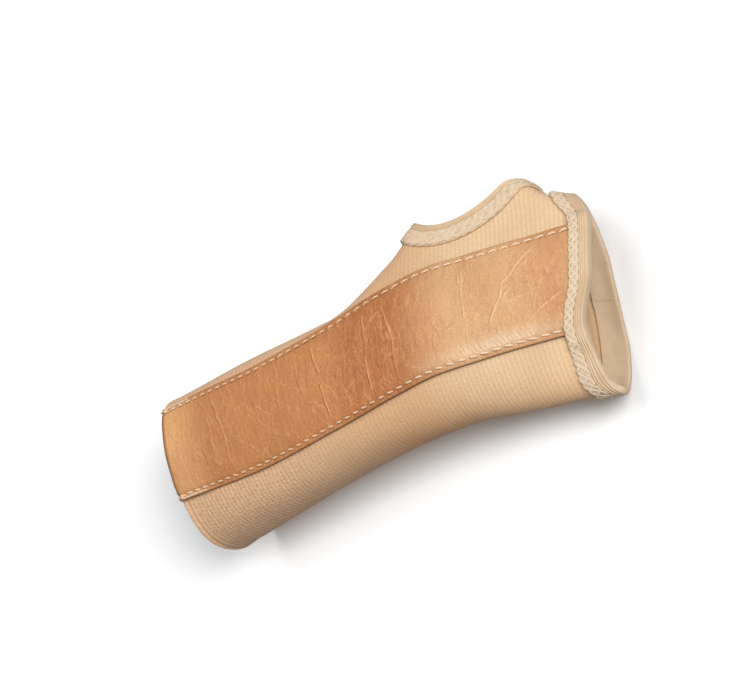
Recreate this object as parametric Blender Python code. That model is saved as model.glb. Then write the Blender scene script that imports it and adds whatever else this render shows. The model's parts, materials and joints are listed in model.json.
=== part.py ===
"""Left wrist splint: an elastic knit sleeve with a leather palm pocket that holds a removable stay.

It lies palm up on the surface z = 0, +X from the forearm end to the hand end, +Y to the thumb side.
Sizes are in millimetres and MM turns them into Blender's metres.
"""

import math

import bpy
from mathutils import Matrix, Vector

MM = 0.001

# Sleeve as a whole
LENGTH = 195.0
EXTENSION = math.radians(16.5)          # bend of the wrist that the stay holds
ARC_RADIUS = LENGTH / EXTENSION         # of the palm face, lengthwise
CROWN_RADIUS = 63.0                     # of the palm face, crosswise
TILT = math.radians(5.75)               # of the sleeve on the table
PLACE = Vector((-1.14, -4.62, 46.3))        # flattens 1.5 mm of each end of the side it lies on

# Stations: distance from the forearm end, ulnar and radial edge of the leather,
# ulnar and radial side of the sleeve, and its depth
STATIONS = (
    (0.0, -20.1, 16.9, -39.3, 24.8, 52.0),
    (42.0, -21.7, 16.8, -36.4, 26.8, 46.7),
    (84.0, -18.8, 20.2, -32.5, 27.0, 43.0),
    (110.0, -15.8, 25.4, -31.2, 39.5, 41.0),
    (131.0, -14.1, 27.7, -31.5, 51.7, 38.5),
    (150.0, -14.8, 26.0, -34.2, 51.8, 36.5),
    (160.0, -15.2, 25.2, -35.6, 51.2, 35.5),
    (170.0, -15.8, 24.4, -36.8, 46.2, 34.3),
    (195.0, -17.5, 22.7, -39.5, 35.4, 32.2),
)
# Palm edge: place round the sleeve, and how far the edge runs past LENGTH there
PALM_EDGE = (
    (-1.0, 0.0), (-0.62, -0.6), (-0.5, -0.4), (-0.37, -3.4), (-0.22, -4.6), (0.0, 2.4),
    (0.22, 4.7), (0.37, 0.8), (0.5, -1.8), (0.62, -1.2), (1.0, 0.0),
)
# A place round the sleeve runs from 0 on the palm to 1 or -1 on the back of the hand
PANEL = 0.22                            # the leather's edge
SIDE = 0.5                              # the sleeve's side

# Layers, as heights over the leather's outer face
COVER = (0.0, -1.1)
KNIT = (-1.4, -3.4)
LINING = (-3.9, -4.7)
STAY = (-1.9, -3.1)
TIP = (-1.3, -3.7)
LINING_DROP = LINING[1] - KNIT[1]
CLEAR = 0.3                             # gap between pieces that touch
SEAM_TUCK = 3.0                         # knit caught under the leather's edge
LEATHER_HALF = 19.5

# Bindings: a folded strip round an edge
BIND_GAP = 0.5
BIND_THICK = 0.8
BIND_LIP = 1.6                          # solid fold outside the knit's edge
BIND_EDGE = 2.2                         # where the knit's own edge lies
PALM_BIND = 11.0
THUMB_BIND = 9.0
FLAP_SHARES = (1.0, 0.7, 0.4)

# Stretch beside the thumb opening
HAND_FROM, HAND_TO = 116.0, 177.0

# Thumb opening: its middle, half length and half height round the sleeve
THUMB_AT = 147.0
THUMB_ROUND = 55.5
THUMB_HALF = 24.5
THUMB_HALF_ROUND = 16.0
THUMB_EGG = 0.25

# Stay
STAY_FROM, STAY_TO = 5.0, 180.0
STAY_MID = 1.5
STAY_HALF = 11.0
STAY_CORNER = 9.0
TIP_LENGTH = 14.0
TIP_FIT = 0.2
TIP_WALL = 0.4

# Threads
THREAD = 0.4
FINE_THREAD = 0.28
STITCH_IN = 2.2                         # seam line in from the leather's edge
BACKTACK = 15.0
PALM_STITCH_END = 0.8                   # place where the binding's flat underside starts

COLOURS = {
    "knit": ((0.74, 0.52, 0.33, 1.0), 0.9, 0.0),
    "leather": ((0.62, 0.31, 0.14, 1.0), 0.75, 0.0),
    "lining": ((0.70, 0.52, 0.36, 1.0), 0.9, 0.0),
    "binding": ((0.76, 0.58, 0.38, 1.0), 0.85, 0.0),
    "thread": ((0.82, 0.72, 0.56, 1.0), 0.6, 0.0),
    "stay": ((0.78, 0.79, 0.80, 1.0), 0.35, 1.0),
    "tip": ((0.06, 0.06, 0.06, 1.0), 0.45, 0.0),
}


def clear_scene():
    for found in list(bpy.data.objects):
        bpy.data.objects.remove(found, do_unlink=True)


def collection(name):
    made = bpy.data.collections.new(name)
    bpy.context.scene.collection.children.link(made)
    return made


def material(name):
    colour, roughness, metallic = COLOURS[name]
    made = bpy.data.materials.new(name)
    made.use_nodes = True
    shader = made.node_tree.nodes["Principled BSDF"]
    shader.inputs["Base Color"].default_value = colour
    shader.inputs["Roughness"].default_value = roughness
    shader.inputs["Metallic"].default_value = metallic
    made.diffuse_color = colour
    return made


def slopes(xs, ys):
    """Slope at each point of a curve that never overshoots its points."""
    runs = [(ys[i + 1] - ys[i]) / (xs[i + 1] - xs[i]) for i in range(len(xs) - 1)]
    inner = [0.0 if a * b <= 0 else 2 * a * b / (a + b) for a, b in zip(runs, runs[1:])]
    return [runs[0]] + inner + [runs[-1]]


def smooth_curve(xs, ys):
    bend = slopes(xs, ys)

    def at(x):
        x = min(max(x, xs[0]), xs[-1])
        i = max(k for k in range(len(xs) - 1) if xs[k] <= x)
        step = xs[i + 1] - xs[i]
        u = (x - xs[i]) / step
        rise = ys[i] * (1 + 2 * u) * (1 - u) ** 2 + ys[i + 1] * u * u * (3 - 2 * u)
        return rise + step * u * (1 - u) * (bend[i] * (1 - u) - bend[i + 1] * u)

    return at


PROFILE = [
    smooth_curve([row[0] for row in STATIONS], [row[column] for row in STATIONS])
    for column in range(1, 6)
]
PALM_RUN = smooth_curve([row[0] for row in PALM_EDGE], [row[1] for row in PALM_EDGE])


def palm_end(place):
    return LENGTH + PALM_RUN(place)


def crown(y):
    """Height of the palm face across its middle, which is a round arch."""
    return math.sqrt(CROWN_RADIUS**2 - y * y) - CROWN_RADIUS


def bezier(points, u):
    weights = ((1 - u) ** 3, 3 * u * (1 - u) ** 2, 3 * u * u * (1 - u), u**3)
    return [sum(w * p[axis] for w, p in zip(weights, points)) for axis in (0, 1)]


def section(along, place):
    """Across and height of the outer face: the arched panel, then a shoulder, then the back."""
    ulnar_edge, radial_edge, ulnar, radial, depth = [curve(along) for curve in PROFILE]
    away = abs(place)
    if away <= PANEL:
        y = ulnar_edge + (radial_edge - ulnar_edge) * (place + PANEL) / (2 * PANEL)
        return y, crown(y)
    edge, side = (radial_edge, radial) if place > 0 else (ulnar_edge, ulnar)
    top = crown(edge)
    fall = -edge / math.sqrt(CROWN_RADIUS**2 - edge * edge)
    if away <= SIDE:
        reach = 0.6 * (side - edge)
        lift = 0.55 * (top + depth / 2)
        shoulder = ((edge, top), (edge + reach, top + reach * fall),
                    (side, lift - depth / 2), (side, -depth / 2))
        return bezier(shoulder, (away - PANEL) / (SIDE - PANEL))
    middle = (ulnar + radial) / 2
    back = ((side, -depth / 2), (side, -0.79 * depth),
            (middle + 0.55 * (side - middle), -depth), (middle, -depth))
    return bezier(back, (away - SIDE) / (1 - SIDE))


def on_arc(along, y, height):
    """A point at a height over the arc that the stay and its pocket follow."""
    turn = (along - LENGTH / 2) / ARC_RADIUS
    reach = ARC_RADIUS + height
    return Vector((reach * math.sin(turn), y, reach * math.cos(turn) - ARC_RADIUS))


def face_point(along, place):
    return on_arc(along, *section(along, place))


def laid_down():
    """Turns the sleeve so that both ends of its back meet the table, and centres it."""
    return Matrix.Translation(PLACE) @ Matrix.Rotation(TILT, 4, "Y")


LAY = laid_down()


def pressed(point, height, along):
    """The side that lies on the table is flat, and the binding reaches below the knit."""
    under_hand = min(max((along - 150.0) / 20.0, 0.0), 1.0)
    lowest = KNIT[0] - height + under_hand * (BIND_THICK + BIND_GAP)
    point = LAY @ point
    return Vector((point.x, point.y, max(point.z, lowest)))


def over_face(along, place, height):
    """A point at a height over the sleeve's outer face."""
    step = 0.02
    here = min(max(place, step - 1), 1 - step)
    down = face_point(along + step, here) - face_point(along - step, here)
    round_it = face_point(along, here + step / 4) - face_point(along, here - step / 4)
    outward = down.cross(round_it).normalized()
    if abs(place) > 1 - step:
        outward = Vector((0.0, 0.0, -1.0))
    return pressed(face_point(along, place) + outward * height, height, along)


def arc_places(along, count=120):
    """Distance round the radial side from the panel's middle, with its place."""
    places = [k / count for k in range(count + 1)]
    points = [face_point(along, place) for place in places]
    reached = [0.0]
    for a, b in zip(points, points[1:]):
        reached.append(reached[-1] + (b - a).length)
    return reached, places


def place_round(along, distance):
    reached, places = arc_places(along)
    i = next(k for k in range(1, len(reached)) if reached[k] >= distance)
    share = (distance - reached[i - 1]) / (reached[i] - reached[i - 1])
    return places[i - 1] + share * (places[i] - places[i - 1])


def thumb_place(turn, inland):
    """A point a distance inland of the thumb opening's edge, as along and place."""
    egg = 1 - THUMB_EGG * math.cos(turn)
    along = THUMB_AT + (THUMB_HALF + inland) * math.cos(turn)
    distance = THUMB_ROUND + (THUMB_HALF_ROUND * egg + inland) * math.sin(turn)
    return along, place_round(along, distance)


def node(name, verts, faces, slot, home):
    mesh = bpy.data.meshes.new(name)
    mesh.from_pydata([tuple(v * MM) for v in verts], [], faces)
    mesh.materials.append(MATERIALS[slot])
    made = bpy.data.objects.new(name, mesh)
    home.objects.link(made)
    return made


def slab(name, outer, inner, slot, home):
    """A sheet with a thickness, from the grids of its outer and inner face."""
    rows, columns = len(outer), len(outer[0])
    verts = [p for grid in (outer, inner) for row in grid for p in row]

    def at(layer, row, column):
        return (layer * rows + row) * columns + column

    faces = []
    for i in range(rows - 1):
        for j in range(columns - 1):
            corners = ((i, j), (i + 1, j), (i + 1, j + 1), (i, j + 1))
            faces.append([at(0, *c) for c in reversed(corners)])
            faces.append([at(1, *c) for c in corners])
    rim = [(i, 0) for i in range(rows)] + [(rows - 1, j) for j in range(1, columns)]
    rim += [(i, columns - 1) for i in range(rows - 2, -1, -1)]
    rim += [(0, j) for j in range(columns - 2, 0, -1)]
    for a, b in zip(rim, rim[1:] + rim[:1]):
        faces.append([at(0, *a), at(0, *b), at(1, *b), at(1, *a)])
    return node(name, verts, faces, slot, home)


def ring(name, profiles, slot, home):
    """A closed band, from its cross-section at each step round it."""
    steps, corners = len(profiles), len(profiles[0])
    verts = [p for profile in profiles for p in profile]
    faces = []
    for i in range(steps):
        for j in range(corners):
            after, beside = (i + 1) % steps, (j + 1) % corners
            faces.append([i * corners + j, i * corners + beside,
                          after * corners + beside, after * corners + j])
    return node(name, verts, faces, slot, home)


def thread(name, points, radius, home, closed=False):
    curve = bpy.data.curves.new(name, "CURVE")
    curve.dimensions = "3D"
    curve.bevel_depth = radius * MM
    curve.bevel_resolution = 1
    curve.use_fill_caps = True
    spline = curve.splines.new("POLY")
    spline.points.add(len(points) - 1)
    for knot, point in zip(spline.points, points):
        knot.co = (*(point * MM), 1.0)
    spline.use_cyclic_u = closed
    curve.materials.append(MATERIALS["thread"])
    made = bpy.data.objects.new(name, curve)
    home.objects.link(made)
    return made


def spread(low, high, count):
    return [low + (high - low) * k / count for k in range(count + 1)]


def knit_places():
    """Places round the sleeve, from the radial seam over the back to the ulnar seam."""
    tucked = PANEL * (1 - SEAM_TUCK / LEATHER_HALF)
    half = [tucked, PANEL] + spread(PANEL, SIDE, 8)[1:] + spread(SIDE, 1.0, 9)[1:]
    return half + [-place for place in reversed(half[:-1])]


def panel_places():
    return spread(-PANEL, PANEL, 8)


def lengthwise(place):
    """Distances along the sleeve at a place, close together beside the thumb opening."""
    forearm = spread(0.0, HAND_FROM, 13)[:-1]
    hand = spread(HAND_FROM, HAND_TO, 17)[:-1]
    return forearm + hand + spread(HAND_TO, palm_end(place) - BIND_EDGE, 3)


def thumb_cutter(cutters):
    """A plug through the knit, whose two faces follow the sleeve's own curve."""
    steps = 44
    turns = [2 * math.pi * k / steps for k in range(steps)]
    middle = thumb_place(0.0, -THUMB_HALF)
    verts = []
    faces = []
    for height, insets in ((1.5, (-11.0, -5.0, BIND_EDGE)), (-5.0, (BIND_EDGE, -5.0, -11.0))):
        for inland in insets:
            verts += [over_face(*thumb_place(turn, inland), height) for turn in turns]
    top, bottom = len(verts), len(verts) + 1
    verts += [over_face(*middle, 1.5), over_face(*middle, -5.0)]
    last = 5 * steps
    for k in range(steps):
        after = (k + 1) % steps
        faces.append([top, k, after])
        faces.append([bottom, last + after, last + k])
        for row in range(0, last, steps):
            faces.append([row + k, row + steps + k, row + steps + after, row + after])
    return node("thumb_cutter", verts, faces, "knit", cutters)


def elastic_sleeve(parts, cutters):
    columns = knit_places()
    grids = []
    for height in KNIT:
        lines = [[over_face(x, p, height) for x in lengthwise(p)] for p in columns]
        grids.append(lines)
    sleeve = slab("elastic_sleeve", grids[0], grids[1], "knit", parts)
    cutter = thumb_cutter(cutters)
    cutter.hide_render = True
    cutter.display_type = "WIRE"
    cut = sleeve.modifiers.new("thumb_opening", "BOOLEAN")
    cut.operation = "DIFFERENCE"
    cut.solver = "EXACT"
    cut.object = cutter
    return sleeve


def panel_sheet(name, layer, slot, parts):
    grids = [
        [[over_face(x, p, height) for x in lengthwise(p)] for p in panel_places()]
        for height in layer
    ]
    return slab(name, grids[0], grids[1], slot, parts)


def panel_lift(place):
    """1 over the leather, falling to 0 where the binding lies on the knit alone."""
    fade = (abs(place) - PANEL - 0.012) / 0.05
    fade = min(max(fade, 0.0), 1.0)
    return 1 - fade * fade * (3 - 2 * fade)


def fold_profile(width, lift):
    """Cross-section of a folded strip: distance in from the edge, and height."""
    top = KNIT[0] + BIND_GAP - lift * KNIT[0]
    low = KNIT[1] - BIND_GAP + lift * LINING_DROP
    flap = [width * share for share in FLAP_SHARES]
    outside = [(inland, top + BIND_THICK) for inland in flap]
    fold = [(1.0, top + BIND_THICK), (0.25, top + 0.25), (0.0, (top + low) / 2),
            (0.25, low - 0.25), (1.0, low - BIND_THICK)]
    inside = [(inland, low - BIND_THICK) for inland in reversed(flap)]
    slot = [(inland, low) for inland in flap] + [(BIND_LIP, low), (BIND_LIP, top)]
    slot += [(inland, top) for inland in reversed(flap)]
    return outside + fold + inside + slot


def palm_places():
    back = knit_places()
    return panel_places() + [p for p in back if abs(p) > PANEL]


def palm_binding(parts):
    profiles = [
        [over_face(palm_end(p) - inland, p, height)
         for inland, height in fold_profile(PALM_BIND, panel_lift(p))]
        for p in palm_places()
    ]
    return ring("palm_binding", profiles, "binding", parts)


def thumb_binding(parts):
    profiles = [
        [over_face(*thumb_place(-2 * math.pi * k / 56, inland), height)
         for inland, height in fold_profile(THUMB_BIND, 0.0)]
        for k in range(56)
    ]
    return ring("thumb_binding", profiles, "binding", parts)


def cover_stitches(parts):
    """Zigzag threads that hold the two bindings down, the palm's from side to side."""
    lift = BIND_THICK + CLEAR + FINE_THREAD
    top = KNIT[0] + BIND_GAP
    palm = []
    for k, p in enumerate(spread(-PALM_STITCH_END, PALM_STITCH_END, 60)):
        inland = 5.2 if k % 2 else 10.2
        height = top - panel_lift(p) * KNIT[0] + lift
        palm.append(over_face(palm_end(p) - inland, p, height))
    thread("palm_cover_stitch", palm, FINE_THREAD, parts)
    thumb = []
    for k in range(64):
        inland = 3.4 if k % 2 else 8.2
        spot = thumb_place(2 * math.pi * k / 64, inland)
        thumb.append(over_face(*spot, top + lift))
    thread("thumb_cover_stitch", thumb, FINE_THREAD, parts, closed=True)


def seam_threads(parts):
    line = PANEL * (1 - STITCH_IN / LEATHER_HALF)
    outer_line = PANEL * (1 - 0.45 * STITCH_IN / LEATHER_HALF)
    above = COVER[0] + CLEAR + THREAD
    below = LINING[1] - CLEAR - FINE_THREAD
    for side, sign in (("radial", 1), ("ulnar", -1)):
        end = palm_end(sign * line) - PALM_BIND - 1.0
        run = spread(1.2, end, 36)
        top = [over_face(x, sign * line, above) for x in run]
        thread(side + "_seam_thread", top, THREAD, parts)
        under = [over_face(x, sign * line, below) for x in run]
        thread(side + "_bobbin_thread", under, FINE_THREAD, parts)
        tack = [over_face(x, sign * outer_line, above) for x in spread(1.2, BACKTACK, 4)]
        thread(side + "_backtack_thread", tack, THREAD, parts)


def strip_half(along, low, high, half):
    """Half width of a strip with rounded corners, at a distance along it."""
    near = min(along - low, high - along)
    if near >= STAY_CORNER:
        return half
    return half - STAY_CORNER + math.sqrt(STAY_CORNER**2 - (STAY_CORNER - near) ** 2)


def strip(name, low, high, half, layer, slot, home, corners=(True, True)):
    """A curved strip with the pocket's own bend, so that it slides along its length."""
    start = low if corners[0] else low - STAY_CORNER
    finish = high if corners[1] else high + STAY_CORNER
    turns = (0.0, 0.15, 0.45, 1.0, 2.0, 3.6, 6.0, STAY_CORNER)
    run = sorted({low + t for t in turns} | {high - t for t in turns}
                 | set(spread(low, high, max(2, round((high - low) / 9)))))
    grids = []
    for height in layer:
        grid = []
        for share in spread(-1.0, 1.0, 4):
            line = []
            for x in run:
                y = STAY_MID + share * strip_half(x, start, finish, half)
                up = Vector((0.0, y, CROWN_RADIUS + crown(y))).normalized()
                point = (STAY_AXIS_LOCAL + Vector((0.0, y + up.y * height, 0.0)))
                reach = ARC_RADIUS + crown(y) + up.z * height
                turn = (x - LENGTH / 2) / ARC_RADIUS
                point += Vector((reach * math.sin(turn), 0.0, reach * math.cos(turn)))
                line.append(LAY @ point)
            grid.append(line)
        grids.append(grid)
    return slab(name, grids[0], grids[1], slot, home)


STAY_AXIS_LOCAL = Vector((0.0, 0.0, -ARC_RADIUS))


def palmar_stay(parts, cutters):
    stay = strip("palmar_stay", STAY_FROM, STAY_TO, STAY_HALF, STAY, "stay", parts)
    made = [stay]
    hollow = (STAY[0] + TIP_FIT, STAY[1] - TIP_FIT)
    reach = TIP_FIT + TIP_WALL
    cavity = strip("tip_cutter", STAY_FROM - TIP_FIT, STAY_TO + TIP_FIT, STAY_HALF + TIP_FIT,
                   hollow, "stay", cutters)
    cavity.hide_render = True
    cavity.display_type = "WIRE"
    ends = (
        ("stay_tip_proximal", STAY_FROM - reach, STAY_FROM + TIP_LENGTH, (True, False)),
        ("stay_tip_distal", STAY_TO - TIP_LENGTH, STAY_TO + reach, (False, True)),
    )
    for name, low, high, corners in ends:
        tip = strip(name, low, high, STAY_HALF + reach, TIP, "tip", parts, corners)
        cut = tip.modifiers.new("hollow", "BOOLEAN")
        cut.operation = "DIFFERENCE"
        cut.solver = "EXACT"
        cut.object = cavity
        made.append(tip)
    return made


def on_axis(pieces, parts):
    """The stay's pieces hang from an empty on the axis that it slides round."""
    axis = bpy.data.objects.new("stay_axis", None)
    parts.objects.link(axis)
    axis.location = (LAY @ STAY_AXIS_LOCAL) * MM
    bpy.context.view_layer.update()
    for piece in pieces:
        piece.parent = axis
        piece.matrix_parent_inverse = axis.matrix_world.inverted()


clear_scene()
MATERIALS = {name: material(name) for name in COLOURS}
PARTS = collection("wrist_splint")
CUTTERS = collection("cutters")
elastic_sleeve(PARTS, CUTTERS)
panel_sheet("pocket_cover", COVER, "leather", PARTS)
panel_sheet("pocket_lining", LINING, "lining", PARTS)
palm_binding(PARTS)
thumb_binding(PARTS)
cover_stitches(PARTS)
seam_threads(PARTS)
on_axis(palmar_stay(PARTS, CUTTERS), PARTS)
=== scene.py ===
"""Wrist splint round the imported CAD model: knit sleeve, leather palm pocket, bindings, stitches, stay.

Distances are in millimetres, as "along" the sleeve from the forearm end, "place" round it (0 in the palm,
1 and -1 on the back of the hand, thumb side positive) and "height" over the leather's outer face.
Meshes are turned into metres when they are made. Everything lies in the frame of the CAD.
"""

import json
import math

import bpy
import numpy as np
from mathutils import Matrix, Vector


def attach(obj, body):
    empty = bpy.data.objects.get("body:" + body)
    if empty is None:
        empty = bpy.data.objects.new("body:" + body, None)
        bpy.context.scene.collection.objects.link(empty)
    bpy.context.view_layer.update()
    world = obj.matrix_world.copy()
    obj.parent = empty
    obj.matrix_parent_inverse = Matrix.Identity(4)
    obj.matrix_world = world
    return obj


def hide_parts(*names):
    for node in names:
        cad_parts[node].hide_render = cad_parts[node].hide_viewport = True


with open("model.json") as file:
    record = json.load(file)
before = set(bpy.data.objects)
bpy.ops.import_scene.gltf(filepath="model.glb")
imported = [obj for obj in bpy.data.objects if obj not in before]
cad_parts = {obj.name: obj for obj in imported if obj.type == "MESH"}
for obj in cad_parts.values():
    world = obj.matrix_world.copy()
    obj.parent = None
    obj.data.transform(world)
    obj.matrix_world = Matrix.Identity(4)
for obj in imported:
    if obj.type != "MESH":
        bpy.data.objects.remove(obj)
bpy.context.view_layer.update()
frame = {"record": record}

MM = 0.001
INNER_SHIFT = (0, 0, 2)  # moves a cloth's inner face to another part of its noise

# The sleeve's shape, as the CAD has it
LENGTH = 195
EXTENSION = math.radians(16.5)
ARC_RADIUS = LENGTH / EXTENSION
CROWN_RADIUS = 63
TILT = math.radians(5.75)

# Distance from the forearm end, ulnar and radial edge of the leather,
# ulnar and radial side of the sleeve, and its depth
STATIONS = (
    (0, -20.1, 16.9, -39.3, 24.8, 52),
    (42, -21.7, 16.8, -36.4, 26.8, 46.7),
    (84, -18.8, 20.2, -32.5, 27, 43),
    (110, -15.8, 25.4, -31.2, 39.5, 41),
    (131, -14.1, 27.7, -31.5, 51.7, 38.5),
    (150, -14.8, 26, -34.2, 51.8, 36.5),
    (160, -15.2, 25.2, -35.6, 51.2, 35.5),
    (170, -15.8, 24.4, -36.8, 46.2, 34.3),
    (195, -17.5, 22.7, -39.5, 35.4, 32.2),
)
# Palm edge: place round the sleeve, and how far the edge runs past LENGTH there
PALM_EDGE = (
    (-1, 0), (-0.62, -0.6), (-0.5, -0.4), (-0.37, -3.4), (-0.22, -4.6), (0, 2.4),
    (0.22, 4.7), (0.37, 0.8), (0.5, -1.8), (0.62, -1.2), (1, 0),
)
PANEL = 0.22  # place of the leather's edge
SIDE = 0.5  # place of the sleeve's side
PALM_FROM = 140
LIFTED = (150, 170)  # between these the palm binding lifts the back off the table

# Layers, as heights over the leather's outer face
COVER = (0, -1.1)
KNIT = (-1.4, -3.4)
LINING = (-3.9, -4.7)
STAY = (-1.9, -3.1)
TIP = (-1.3, -3.7)
LEATHER_HALF = 19.5
SEAM_TUCK = 3

# Bindings
BIND_GAP = 0.5
BIND_THICK = 0.8
BIND_LIP = 1.6
BIND_EDGE = 2.2
PALM_BIND = (7.6, 10.4)  # over the leather's middle, and over the knit
PALM_BIND_GROWS = (0.2, 0.4)
PALM_RIBBED = 0.47  # share of the palm binding that is ribbed, by its lip
THUMB_BIND = 9
THUMB_RIBBED = 2.8
WEB_SWELL = 4.2  # how far the cloth stands out past the thumb opening
WEB_AT = (170.5, 0.52)  # along and place of the middle of that swell
WEB_REACH = (8.2, 0.13)
DRAW_IN = 0.6  # how far the layers close up at a bound edge
DRAW_OVER = (14, 3)  # and over which distances from it

# Thumb opening
THUMB_AT = 147
THUMB_ROUND = 55.5
THUMB_HALF = 24.5
THUMB_HALF_ROUND = 16
THUMB_EGG = 0.25

# Stay
STAY_FROM, STAY_TO = 5, 180
STAY_MID = 1.5
STAY_HALF = 11
STAY_CORNER = 9
TIP_LENGTH = 14
TIP_SPARE = 0.6

# Knit
ROW = 1.9  # pitch of the knit's rows
ROW_STEP = ROW / 5
WALE = 1.7  # pitch of the knit's columns
STRAIGHT_TO = 176.7  # rows past this follow the palm edge

# Leather
LEATHER_ROW = 0.36
EDGE_STEPS = np.array([0, 0.12, 0.28, 0.55])  # steps over the leather's rounded edge
EDGE_IN = 0.9
FAINT_CREASES = 260

# Stitches
STITCH_IN = 2
FIRST_STITCH = 1.2
BACKTACK = 15
TACK = (2.7, 2.3)  # length and pitch of a backtack's stitches
THREAD = 0.43
FINE_THREAD = 0.26
WRAP_THREAD = (0.36, 0.3)
STRAND = (0.29, 0.18)  # half width and height of a zigzag's strand
ZIGZAG = 3.1  # length of one zig and zag
ZIGZAG_PAIRS = 3
THUMB_ZIGZAGS = 16


# ---------------- shape of the sleeve

def smooth_curve(points):
    """A curve through the points that never overshoots them."""
    xs, ys = np.array(points, float).T
    runs = np.diff(ys) / np.diff(xs)
    before, after = runs[:-1], runs[1:]
    turning = before * after <= 0
    inner = np.where(turning, 0, 2 * before * after / np.where(turning, 1, before + after))
    bend = np.concatenate([runs[:1], inner, runs[-1:]])

    def at(x):
        x = np.clip(x, xs[0], xs[-1])
        i = np.clip(np.searchsorted(xs, x, side="right") - 1, 0, len(xs) - 2)
        step = xs[i + 1] - xs[i]
        u = (x - xs[i]) / step
        rise = ys[i] * (1 + 2 * u) * (1 - u) ** 2 + ys[i + 1] * u * u * (3 - 2 * u)
        return rise + step * u * (1 - u) * (bend[i] * (1 - u) - bend[i + 1] * u)

    return at


PROFILE = [smooth_curve([(row[0], row[column]) for row in STATIONS]) for column in range(1, 6)]
PALM_RUN = smooth_curve(PALM_EDGE)


def palm_end(place):
    return LENGTH + PALM_RUN(place)


def crown(y):
    return np.sqrt(CROWN_RADIUS**2 - y * y) - CROWN_RADIUS


def bezier(points, u):
    weights = ((1 - u) ** 3, 3 * u * (1 - u) ** 2, 3 * u * u * (1 - u), u**3)
    return [sum(w * p[axis] for w, p in zip(weights, points)) for axis in (0, 1)]


def section(along, place):
    """Across and height of the outer face: the arched panel, then a shoulder, then the back."""
    ulnar_edge, radial_edge, ulnar, radial, depth = [curve(along) for curve in PROFILE]
    away = np.abs(place)
    share = np.clip((place + PANEL) / (2 * PANEL), 0, 1)
    panel_y = ulnar_edge + (radial_edge - ulnar_edge) * share
    edge = np.where(place > 0, radial_edge, ulnar_edge)
    side = np.where(place > 0, radial, ulnar)
    top = crown(edge)
    fall = -edge / np.sqrt(CROWN_RADIUS**2 - edge * edge)
    reach = 0.6 * (side - edge)
    lift = 0.55 * (top + depth / 2)
    shoulder = bezier(
        ((edge, top), (edge + reach, top + reach * fall), (side, lift - depth / 2),
         (side, -depth / 2)),
        np.clip((away - PANEL) / (SIDE - PANEL), 0, 1))
    middle = (ulnar + radial) / 2
    back = bezier(
        ((side, -depth / 2), (side, -0.79 * depth), (middle + 0.55 * (side - middle), -depth),
         (middle, -depth)),
        np.clip((away - SIDE) / (1 - SIDE), 0, 1))
    on_panel, on_shoulder = away <= PANEL, away <= SIDE
    across = np.where(on_panel, panel_y, np.where(on_shoulder, shoulder[0], back[0]))
    height = np.where(on_panel, crown(panel_y), np.where(on_shoulder, shoulder[1], back[1]))
    return across, height


def on_arc(along, across, height):
    """Points of the straight sleeve, bent to the wrist's extension."""
    turn = (along - LENGTH / 2) / ARC_RADIUS
    reach = ARC_RADIUS + height
    return np.stack([reach * np.sin(turn), across, reach * np.cos(turn) - ARC_RADIUS], axis=-1)


def face_point(along, place):
    return on_arc(along, *section(along, place))


TIP_UP = np.array(Matrix.Rotation(TILT, 3, "Y"))
AXIS = np.array(frame["record"]["behaviour"]["joints"][0]["pos_m"]) / MM
PLACE = AXIS - TIP_UP @ np.array([0, 0, -ARC_RADIUS])


def laid(points):
    """Turns points of the sleeve as it lies on the table."""
    return points @ TIP_UP.T + PLACE


def unit(vectors):
    return vectors / np.linalg.norm(vectors, axis=-1, keepdims=True)


def outward_at(along, place):
    """The sleeve's outward direction, before it is laid down."""
    step = 0.02
    here = np.clip(place, step - 1, 1 - step)
    down = face_point(along + step, here) - face_point(along - step, here)
    around = face_point(along, here + step / 4) - face_point(along, here - step / 4)
    flat = (np.abs(place) > 1 - step)[..., None]
    return np.where(flat, np.array([0, 0, -1]), unit(np.cross(down, around)))


def facing(along, place):
    """The outward direction in the laid sleeve."""
    return outward_at(along, place) @ TIP_UP.T


def ramp(x, low, high):
    """0 below low, 1 above high, smooth between them. It falls where low is above high."""
    u = np.clip((x - low) / (high - low), 0, 1)
    return u * u * (3 - 2 * u)


def bump(x, middle, width):
    return np.exp(-((x - middle) / width) ** 2)


def over_face(along, place, height):
    """Points at a height over the sleeve's outer face, flat where the sleeve lies on the table."""
    along, place, height = (v.astype(float) for v in np.broadcast_arrays(along, place, height))
    height = drawn_in(along, place, height)
    swell = bump(along, WEB_AT[0], WEB_REACH[0]) * bump(place, WEB_AT[1], WEB_REACH[1])
    height = height + WEB_SWELL * swell
    points = laid(face_point(along, place) + outward_at(along, place) * height[..., None])
    lift = np.clip((along - LIFTED[0]) / (LIFTED[1] - LIFTED[0]), 0, 1)
    lowest = KNIT[0] - height + lift * (BIND_THICK + BIND_GAP)
    points[..., 2] = np.maximum(points[..., 2], np.maximum(lowest, 0))
    return points


# Distance round the radial side from the panel's middle, on a grid of along and place
ROUND_STEPS = 120
ROUND_ALONG = np.arange(0, 202)
ROUND_GRID = face_point(ROUND_ALONG[:, None], np.linspace(0, 1, ROUND_STEPS + 1)[None, :])


def reached_by(points):
    """Distance from the first point along lines of points."""
    steps = np.linalg.norm(np.diff(points, axis=-2), axis=-1)
    return np.concatenate([np.zeros(steps.shape[:-1] + (1,)), np.cumsum(steps, axis=-1)], axis=-1)


ROUND_REACH = reached_by(ROUND_GRID)


def reach_rows(along):
    low = np.clip(np.floor(along), 0, len(ROUND_ALONG) - 2).astype(int)
    share = (along - low)[:, None]
    return ROUND_REACH[low] * (1 - share) + ROUND_REACH[low + 1] * share


def place_round(along, distance):
    """The place at a distance round the radial side."""
    rows = reach_rows(along)
    after = np.clip((rows < distance[:, None]).sum(axis=1), 1, ROUND_STEPS)
    k = np.arange(len(along))
    share = (distance - rows[k, after - 1]) / (rows[k, after] - rows[k, after - 1])
    return (after - 1 + share) / ROUND_STEPS


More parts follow.
